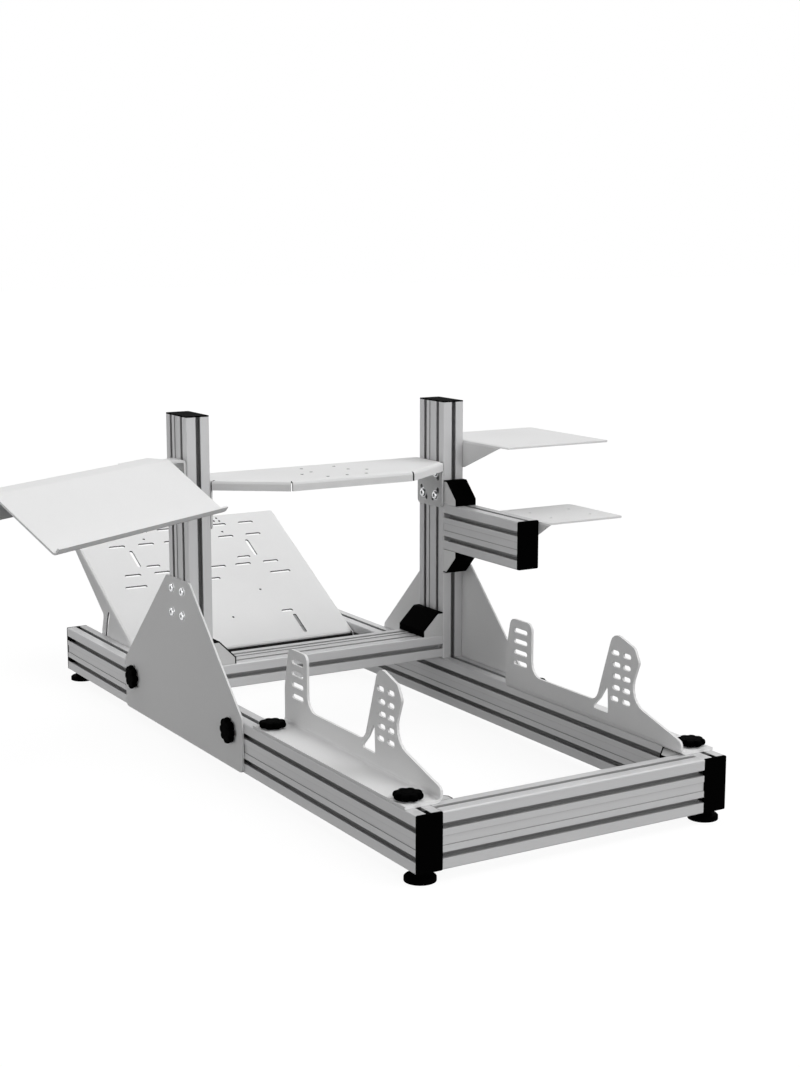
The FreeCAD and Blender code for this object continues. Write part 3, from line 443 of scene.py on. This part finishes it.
def screws_on(name, points, axis, body, flanged=False):
    """Like M8 button-head screws with hexagon sockets, as one piece, standing on a face."""
    foot, lift = (FLANGED_FOOT, FLANGE_LIFT) if flanged else (PLAIN_FOOT, 0.0)
    rings = foot + [(radius, height + lift) for radius, height in SCREW_HEAD]
    screws = bmesh.new()
    for point in points:
        add_turned(screws, rings, SCREW_STEPS, standing(point, axis))
    piece_from(name, screws, zinc, body)


coat_skin()
coated = powder_coat("powder_coat")
zinc = bright_zinc()
for side, outward in SIDES:
    finish_node("gusset_" + side, coated)
    low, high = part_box("gusset_" + side)
    face_x = low.x if side == "left" else high.x
    middle_y = (low.y + high.y) / 2
    points = [(face_x, middle_y + along, high.z - drop) for along in SCREW_PAIR
              for drop in (SCREW_TOP_DROP, SCREW_TOP_DROP + SCREW_SPACING)]
    screws_on("side_plate_screws_" + side, points, (outward, 0, 0), "wheel_frame")

# Star knobs: fluted black plastic hand knobs moulded round a steel stud, which screws into a nut
# in the slot below. Eight broad lobes, and a flat top with a shallow round groove in it.
KNOB_LOBES = 8
KNOB_STEPS = 128


def lobed(radius, depth):
    """The star knob's outline: broad lobes with narrow rounded flutes between them."""
    def reach(angle):
        wave = 0.5 + 0.5 * math.cos(KNOB_LOBES * angle)
        return radius - depth * (1 - wave) ** 2
    return reach


KNOB_RINGS = [(0.0095, 0.0), (0.0106, 0.0003), (0.0110, 0.0012), (lobed(0.0150, 0.0012), 0.0015),
              (lobed(0.0188, 0.0030), 0.0020), (lobed(0.0205, 0.0040), 0.0034),
              (lobed(0.0210, 0.0045), 0.0054), (lobed(0.0208, 0.0045), 0.0075),
              (lobed(0.0198, 0.0040), 0.0094), (lobed(0.0180, 0.0030), 0.0104),
              (lobed(0.0150, 0.0010), 0.0108), (0.0105, 0.0108), (0.0098, 0.0103),
              (0.0090, 0.0103), (0.0084, 0.0107), (0.0050, 0.0108)]
knob_places = []
for side, outward in SIDES:
    for end in ("rear", "front"):
        knob_places.append(("gusset_knob_%s_%s" % (end, side), (outward, 0, 0), "wheel_frame"))
        knob_places.append(("seat_knob_%s_%s" % (end, side), (0, 0, 1), "seat_bracket_" + side))
for cad_name, axis, body in knob_places:
    low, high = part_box(cad_name)
    reach = (high - low).dot(Vector(abs(part) for part in axis)) / 2
    foot_point = (low + high) / 2 - Vector(axis) * reach
    knob = bmesh.new()
    add_turned(knob, KNOB_RINGS, KNOB_STEPS, standing(foot_point, axis))
    made = piece_from("star_" + cad_name, knob, black, body)
    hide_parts(cad_name)

# Wheel deck: 3 mm sheet folded down at both sides and along its rear edges, powder coated.
# Screws through its arc slots clamp it to the uprights, so they stay with the uprights.
THIN_SHEET = 0.003
DECK_PIVOT_DROP = 0.040
# Painted shade: the coat turns nearly black down in the cut slots and close recesses of the wheel
# deck and pedal plate.
SLOT_WALL_PAINTED_SHADE = {"reach": 0.012, "dark": (0.02, 0.02, 0.02, 1.0), "opening": 0.98, "closed": 0.80}


def cheek_faces(low, high):
    """The inner faces of a plate's two cheeks: the side, its place along X and the way inward."""
    return ("left", low.x + THIN_SHEET, 1), ("right", high.x - THIN_SHEET, -1)


coat_painted_slot_shade = powder_coat("powder_coat_painted_slot_shade", SLOT_WALL_PAINTED_SHADE)
finish_node("wheel_deck", coat_painted_slot_shade)
deck_low, deck_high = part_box("wheel_deck")
frame_low, frame_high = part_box("upright_left")
deck_middle_y = (frame_low.y + frame_high.y) / 2
deck_pivot_z = deck_high.z - DECK_PIVOT_DROP
for side, face_x, inward in cheek_faces(deck_low, deck_high):
    points = [(face_x, deck_middle_y + along, deck_pivot_z + rise)
              for along in SCREW_PAIR for rise in SCREW_PAIR]
    screws_on("deck_screws_" + side, points, (inward, 0, 0), "wheel_frame", flanged=True)

# Keyboard tray and its bracket: folded 3 and 4 mm sheet, powder coated.
# The tray turns on one screw at its corner, which has its washer and nut under the bracket's tongue.
THICK_SHEET = 0.004
TRAY_SCREW_DROPS = (0.022, 0.046)
TONGUE_END_RADIUS = 0.015
WASHER = [(0.0050, -0.0001), (0.0084, 0.0), (0.0084, 0.0015), (0.0050, 0.0016)]
HEX_NUT = [(0.0062, 0.0014), (hexagon(0.0064), 0.0018), (hexagon(0.0065), 0.0074),
           (0.0063, 0.0080), (0.0044, 0.0080), (0.0040, 0.0076), (0.0040, 0.0100), (0.0036, 0.0104)]
finish_node("keyboard_tray", coated)
finish_node("tray_bracket", coated)
bracket_low, bracket_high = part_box("tray_bracket")
points = [(frame_low.x - THICK_SHEET, frame_low.y + SLOT_LINES[0], bracket_high.z - drop)
          for drop in TRAY_SCREW_DROPS]
screws_on("tray_bracket_screws", points, (-1, 0, 0), "wheel_frame")
pivot_foot = (bracket_low.x + TONGUE_END_RADIUS, bracket_low.y + TONGUE_END_RADIUS,
              bracket_high.z - THICK_SHEET)
nut = bmesh.new()
for rings in (WASHER, HEX_NUT):
    add_turned(nut, rings, SCREW_STEPS, standing(pivot_foot, (0, 0, -1)))
piece_from("tray_pivot_nut", nut, zinc, "wheel_frame")

# Side shelves: 3 mm folded sheet, powder coated, each on a tapered flange.
# The upper one is screwed to the right upright, the lower one to the shifter arm.
UPPER_FLANGE_DROP = 0.024
LOWER_FLANGE_DROP = 0.0185
LOWER_SCREWS_ALONG = (0.075, 0.125)
for shelf in ("shelf_upper", "shelf_lower"):
    finish_node(shelf, coated)
upper_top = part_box("shelf_upper")[1].z
lower_low, lower_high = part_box("shelf_lower")
flange_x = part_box("upright_right")[1].x + THIN_SHEET
points = [(flange_x, deck_middle_y + along, upper_top - UPPER_FLANGE_DROP) for along in SCREW_PAIR]
points += [(flange_x, lower_low.y + along, lower_high.z - LOWER_FLANGE_DROP)
           for along in LOWER_SCREWS_ALONG]
screws_on("shelf_screws", points, (1, 0, 0), "wheel_frame")

# Seat brackets: 4 mm sheet folded to an angle and powder coated, with slotted ears for a seat.
# Each stands on its rail's top, clamped there by two star knobs.
for side in ("left", "right"):
    finish_node("seat_bracket_" + side, coated)

# Pedal plate: 3 mm sheet with two folded cheeks that hang between the rails, powder coated.
# A screw at the foot and one in the arc slot of each cheek hold it to the rails.
PEDAL_END_RADIUS = 0.013
PEDAL_ARC_RADIUS = 0.1425
finish_node("pedal_plate", coat_painted_slot_shade)
pedal_low, pedal_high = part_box("pedal_plate")
rail_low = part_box("rail_left")[0]
pivot_y = pedal_low.y + PEDAL_END_RADIUS
pivot_z = rail_low.z + SLOT_LINES[1]
for side, face_x, inward in cheek_faces(pedal_low, pedal_high):
    points = [(face_x, pivot_y + along, pivot_z) for along in (0.0, PEDAL_ARC_RADIUS)]
    screws_on("pedal_screws_" + side, points, (inward, 0, 0), "base", flanged=True)

# Painted shade: a black band laid over the pedal plate's folded lower lip, standing for the deep
# shade in the gap between the plate's edge and the cross member.
# It is a flat band with rounded edges, nearly as wide as the plate.
GAP_SHADE_BLACK = (0.016, 0.016, 0.016, 1.0)
GAP_SHADE_LIGHT = (0.030, 0.030, 0.030, 1.0)
GAP_SHADE_SHINE = 0.05
PEDAL_TILT = math.radians(28.9)
STRIP_END_GAP = 0.001
STRIP_HALF = ((pedal_high.x - pedal_low.x) / 2 - STRIP_END_GAP, 0.0009, 0.0062)
STRIP_BEVEL = {"offset": 0.0005, "segments": 3, "profile": 0.6}
STRIP_CENTRE = Vector((0.0, -0.0091, 0.0020))
# Painted shade: this black finish stands for the shade in the gap under the plate's lower edge.
gap_shade_finish = moulded_skin("painted_gap_shade", GAP_SHADE_BLACK, GAP_SHADE_LIGHT, GAP_SHADE_SHINE)
strip = bmesh.new()
add_bar(strip, (0.0, 0.0, 0.0), STRIP_HALF, STRIP_BEVEL)
pivot = Vector(((pedal_low.x + pedal_high.x) / 2, pivot_y, pivot_z))
lean = Matrix.Rotation(PEDAL_TILT, 4, "X") @ Matrix.Translation(STRIP_CENTRE)
bmesh.ops.transform(strip, matrix=Matrix.Translation(pivot) @ lean, verts=strip.verts)
piece_from("pedal_painted_gap_shade", strip, gap_shade_finish, "pedal_plate")

# Studio: a plain pale floor, six soft lamps and the photograph's camera, placed from the rig.
# Floor and sky are white where they are seen, and only the lamps light the rig.
CAMERA_OFFSET = Vector((-1.39727, -1.85662, 0.82784))
CAMERA_DOWN = 9.8721
CAMERA_TURN = 30.9235
CAMERA_LENS = 59.74
CAMERA_SENSOR = 36.0
CAMERA_REACH = 100.0
FLOOR_HALF = 20.0
FLOOR_COLOUR = (0.12, 0.12, 0.12, 1.0)
FLOOR_GLOW = 0.92
SKY_WHITE = (1.0, 1.0, 1.0, 1.0)
SKY_LIGHT = 0.0
SKY_SEEN = 1.0
LAMP_SPREAD = math.radians(50)
LAMPS = {"overhead": (0.53, (0.0, 0.0, 1.0)), "rear": (1.24, (0.0, -1.0, 0.15)),
         "left": (1.07, (-1.0, 0.0, 0.15)), "rear_right": (1.43, (0.5, -0.5, 0.7)),
         "beyond": (0.49, (0.0, 0.6, 0.8)), "right": (0.39, (0.7, 0.0, 0.7))}


def seen_directly(tree):
    """1 for a ray from the camera, a reflection or glass, and 0 for a ray that gives light."""
    path = add_node(tree, "ShaderNodeLightPath")
    first = add_node(tree, "ShaderNodeMath", operation="ADD", use_clamp=True)
    second = add_node(tree, "ShaderNodeMath", operation="ADD", use_clamp=True)
    tree.links.new(path.outputs["Is Camera Ray"], first.inputs[0])
    tree.links.new(path.outputs["Is Glossy Ray"], first.inputs[1])
    tree.links.new(first.outputs[0], second.inputs[0])
    tree.links.new(path.outputs["Is Transmission Ray"], second.inputs[1])
    return second.outputs[0]


def pale_floor():
    """A matt grey floor that glows where it is seen, so it is white and still takes shadows."""
    material = bpy.data.materials.new("pale_floor")
    material.use_nodes = True
    tree = material.node_tree
    tree.nodes.clear()
    matt = add_node(tree, "ShaderNodeBsdfDiffuse", Color=FLOOR_COLOUR)
    glow = add_node(tree, "ShaderNodeEmission")
    strength = add_node(tree, "ShaderNodeMath", operation="MULTIPLY")
    strength.inputs[1].default_value = FLOOR_GLOW
    both = add_node(tree, "ShaderNodeAddShader")
    out = add_node(tree, "ShaderNodeOutputMaterial")
    tree.links.new(seen_directly(tree), strength.inputs[0])
    tree.links.new(strength.outputs[0], glow.inputs["Strength"])
    tree.links.new(matt.outputs[0], both.inputs[0])
    tree.links.new(glow.outputs[0], both.inputs[1])
    tree.links.new(both.outputs[0], out.inputs["Surface"])
    return material


def studio_sky():
    """A world that is white where it is seen and gives no light."""
    world = bpy.data.worlds.new("studio")
    world.use_nodes = True
    tree = world.node_tree
    tree.nodes.clear()
    around = add_node(tree, "ShaderNodeBackground", Color=SKY_WHITE, Strength=SKY_LIGHT)
    white = add_node(tree, "ShaderNodeBackground", Color=SKY_WHITE, Strength=SKY_SEEN)
    mixed = add_node(tree, "ShaderNodeMixShader")
    out = add_node(tree, "ShaderNodeOutputWorld")
    tree.links.new(seen_directly(tree), mixed.inputs[0])
    tree.links.new(around.outputs[0], mixed.inputs[1])
    tree.links.new(white.outputs[0], mixed.inputs[2])
    tree.links.new(mixed.outputs[0], out.inputs["Surface"])
    return world


rail_far_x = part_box("rail_right")[1].x
cap_rear_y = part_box("rail_cap_rear_left")[0].y
rig_origin = Vector(((rail_low.x + rail_far_x) / 2, cap_rear_y, rail_low.z))
camera_data = bpy.data.cameras.new("camera")
camera_data.sensor_width = CAMERA_SENSOR
camera_data.lens = CAMERA_LENS
camera_data.clip_end = CAMERA_REACH
camera = bpy.data.objects.new("camera", camera_data)
camera.location = rig_origin + CAMERA_OFFSET
camera.rotation_euler = (math.radians(90 - CAMERA_DOWN), 0, math.radians(-CAMERA_TURN))
bpy.context.scene.collection.objects.link(camera)
bpy.context.scene.camera = camera

floor_mesh = bpy.data.meshes.new("floor")
floor_corners = [(-FLOOR_HALF, -FLOOR_HALF, 0), (FLOOR_HALF, -FLOOR_HALF, 0),
                 (FLOOR_HALF, FLOOR_HALF, 0), (-FLOOR_HALF, FLOOR_HALF, 0)]
floor_mesh.from_pydata(floor_corners, [], [(0, 1, 2, 3)])
floor_mesh.materials.append(pale_floor())
floor = bpy.data.objects.new("floor", floor_mesh)
bpy.context.scene.collection.objects.link(floor)

bpy.context.scene.world = studio_sky()
for lamp_name, (energy, direction) in LAMPS.items():
    lamp_data = bpy.data.lights.new(lamp_name, "SUN")
    lamp_data.energy = energy
    lamp_data.angle = LAMP_SPREAD
    lamp = bpy.data.objects.new(lamp_name, lamp_data)
    lamp.rotation_euler = Vector(direction).to_track_quat("Z", "Y").to_euler()
    bpy.context.scene.collection.objects.link(lamp)
bpy.context.scene.view_settings.view_transform = "Standard"
